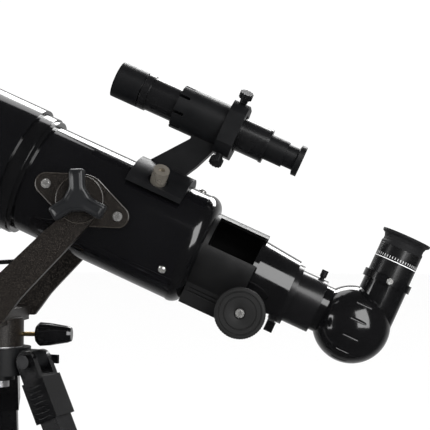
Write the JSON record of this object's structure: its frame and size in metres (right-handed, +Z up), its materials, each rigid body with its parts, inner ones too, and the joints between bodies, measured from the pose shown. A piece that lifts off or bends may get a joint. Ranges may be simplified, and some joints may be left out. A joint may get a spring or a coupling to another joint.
{
  "type": "refractor telescope",
  "caption": "Short-tube refractor telescope with finder, star diagonal and focuser, tilting on a yoke mount over a braced tripod with sliding legs.",
  "frame": {"origin": "on the floor, under the middle of the whole object's box", "axes": "+Z up, +X from the lens end towards the eye end, +Y to the far side"},
  "size_m": [0.6205, 0.5682, 0.8959],
  "materials": {
    "gloss_black": "gloss black",
    "gloss_paint": "gloss black enamel",
    "satin_black": "satin black",
    "satin_metal": "satin black anodised",
    "hammertone": "brown black hammertone",
    "chrome": "polished",
    "nickel": "nickel plated",
    "brass": "turned",
    "rubber": "matte",
    "glass": "coated",
    "aluminium": "satin",
    "steel": "zinc plated"
  },
  "bodies": {
    "tripod": {"tripod_hub": "satin_black", "azimuth_bolt": "steel", "leg_heads": "satin_black", "upper_legs": "satin_metal", "leg_collars": "satin_black", "leg_hinge_bolts": "steel", "leg_braces": "satin_metal", "accessory_tray": "satin_black", "tray_fasteners": "steel"},
    "yoke": {"yoke": "hammertone", "pan_handle_rod": "satin_metal", "pan_handle_grip": "rubber"},
    "azimuth_lock": {"azimuth_lock_rod": "brass", "azimuth_lock_knob": "gloss_black"},
    "tube": {"main_tube": "gloss_paint", "tube_baffles": "satin_black", "lens_cell": "gloss_black", "objective_lenses": "glass", "lens_retaining_ring": "satin_black", "dew_shield": "gloss_paint", "rear_cell": "gloss_black", "tube_screws": "chrome", "altitude_plates": "hammertone", "altitude_studs": "steel", "focuser_housing": "gloss_black", "finder_bracket": "satin_black", "finder_studs": "nickel", "finder_tube": "satin_metal", "finder_hood": "satin_black", "finder_lens": "glass"},
    "altitude_knob_near": {"altitude_knob_near": "satin_black"},
    "altitude_knob_far": {"altitude_knob_far": "satin_black"},
    "focus": {"focus_shaft": "steel", "focus_knobs": "satin_black", "focus_knob_screws": "chrome"},
    "drawtube": {"drawtube": "gloss_black", "focus_rack": "satin_black", "eyepiece_holder": "satin_metal"},
    "holder_screw": {"holder_screw": "satin_metal"},
    "diagonal": {"diagonal_body": "gloss_black", "diagonal_prism": "glass"},
    "diagonal_screw": {"diagonal_screw": "chrome"},
    "eyepiece": {"eyepiece_body": "satin_metal", "eyecup": "rubber", "eyepiece_lenses": "glass"},
    "finder_eyepiece": {"finder_eyepiece": "satin_black"},
    "finder_nut_near": {"finder_nut_near": "nickel"},
    "finder_nut_far": {"finder_nut_far": "nickel"},
    "lower_leg_1": {"lower_leg_1": "aluminium", "foot_1": "rubber"},
    "leg_knob_1": {"leg_knob_1": "satin_black"},
    "finder_screw_1": {"finder_screw_1": "satin_black"},
    "lower_leg_2": {"lower_leg_2": "aluminium", "foot_2": "rubber"},
    "leg_knob_2": {"leg_knob_2": "satin_black"},
    "finder_screw_2": {"finder_screw_2": "satin_black"},
    "lower_leg_3": {"lower_leg_3": "aluminium", "foot_3": "rubber"},
    "leg_knob_3": {"leg_knob_3": "satin_black"},
    "finder_screw_3": {"finder_screw_3": "satin_black"}
  },
  "joints": [
    {"name": "azimuth", "type": "hinge", "parent": "tripod", "child": "yoke", "pos_m": [-0.0422, -0.0571, 0.65], "axis": [0, 0, 1], "continuous": true},
    {"name": "altitude", "type": "hinge", "parent": "yoke", "child": "tube", "pos_m": [0.0348, -0.0571, 0.768], "axis": [0, 1, 0], "range_deg": [-40, 42]},
    {"name": "altitude_knob_near_turn", "type": "hinge", "parent": "tube", "child": "altitude_knob_near", "pos_m": [0.0348, -0.0571, 0.768], "axis": [0, 1, 0], "range_deg": [0, 360]},
    {"name": "altitude_knob_far_turn", "type": "hinge", "parent": "tube", "child": "altitude_knob_far", "pos_m": [0.0348, -0.0571, 0.768], "axis": [0, -1, 0], "range_deg": [0, 360]},
    {"name": "azimuth_lock_turn", "type": "hinge", "parent": "yoke", "child": "azimuth_lock", "pos_m": [-0.0122, -0.0571, 0.6595], "axis": [1, 0, 0], "range_deg": [0, 360]},
    {"name": "drawtube_slide", "type": "slide", "parent": "tube", "child": "drawtube", "axis": [0.91, 0, -0.4147], "range_m": [-0.015, 0.03]},
    {"name": "focus_turn", "type": "hinge", "parent": "tube", "child": "focus", "pos_m": [0.15857, -0.0571, 0.68126], "axis": [0, 1, 0], "range_deg": [-180, 360]},
    {"name": "holder_screw_turn", "type": "hinge", "parent": "drawtube", "child": "holder_screw", "pos_m": [0.22331, -0.0571, 0.7066], "axis": [0.4147, 0, 0.91], "range_deg": [0, 360]},
    {"name": "diagonal_turn", "type": "hinge", "parent": "drawtube", "child": "diagonal", "pos_m": [0.21952, -0.0571, 0.68382], "axis": [0.91, 0, -0.4147], "continuous": true},
    {"name": "diagonal_screw_turn", "type": "hinge", "parent": "diagonal", "child": "diagonal_screw", "pos_m": [0.27576, -0.0771, 0.70522], "axis": [0, -1, 0], "range_deg": [0, 360]},
    {"name": "eyepiece_lift", "type": "slide", "parent": "diagonal", "child": "eyepiece", "axis": [0.4147, 0, 0.91], "range_m": [0, 0.03]},
    {"name": "finder_focus", "type": "slide", "parent": "tube", "child": "finder_eyepiece", "axis": [0.91, 0, -0.4147], "range_m": [-0.005, 0.006]},
    {"name": "finder_screw_1_turn", "type": "hinge", "parent": "tube", "child": "finder_screw_1", "pos_m": [0.15947, -0.0706, 0.84864], "axis": [0.3591, -0.5, 0.788], "range_deg": [0, 360]},
    {"name": "finder_screw_2_turn", "type": "hinge", "parent": "tube", "child": "finder_screw_2", "pos_m": [0.14008, -0.0706, 0.80609], "axis": [-0.3591, -0.5, -0.788], "range_deg": [0, 360]},
    {"name": "finder_screw_3_turn", "type": "hinge", "parent": "tube", "child": "finder_screw_3", "pos_m": [0.14977, -0.0301, 0.82737], "axis": [0, 1, 0], "range_deg": [0, 360]},
    {"name": "finder_nut_near_turn", "type": "hinge", "parent": "tube", "child": "finder_nut_near", "pos_m": [0.09329, -0.09223, 0.78422], "axis": [0.3082, -0.6691, 0.6762], "range_deg": [0, 360]},
    {"name": "finder_nut_far_turn", "type": "hinge", "parent": "tube", "child": "finder_nut_far", "pos_m": [0.09329, -0.02197, 0.78422], "axis": [0.3082, 0.6691, 0.6762], "range_deg": [0, 360]},
    {"name": "leg_slide_1", "type": "slide", "parent": "tripod", "child": "lower_leg_1", "axis": [0.3971, -0.1445, -0.9063], "range_m": [0, 0.25]},
    {"name": "leg_knob_1_turn", "type": "hinge", "parent": "tripod", "child": "leg_knob_1", "pos_m": [0.12319, -0.11729, 0.33448], "axis": [0.8517, -0.31, 0.4226], "range_deg": [0, 360]},
    {"name": "leg_slide_2", "type": "slide", "parent": "tripod", "child": "lower_leg_2", "axis": [-0.0734, 0.4162, -0.9063], "range_m": [0, 0.25]},
    {"name": "leg_knob_2_turn", "type": "hinge", "parent": "tripod", "child": "leg_knob_2", "pos_m": [-0.07276, 0.11623, 0.33448], "axis": [-0.1574, 0.8925, 0.4226], "range_deg": [0, 360]},
    {"name": "leg_slide_3", "type": "slide", "parent": "tripod", "child": "lower_leg_3", "axis": [-0.3237, -0.2717, -0.9063], "range_m": [0, 0.25]},
    {"name": "leg_knob_3_turn", "type": "hinge", "parent": "tripod", "child": "leg_knob_3", "pos_m": [-0.17702, -0.17023, 0.33448], "axis": [-0.6943, -0.5826, 0.4226], "range_deg": [0, 360]}
  ],
  "couplings": [
    {"joint": "focus_turn", "follows": "drawtube_slide", "rad_per_m": 208.33}
  ]
}
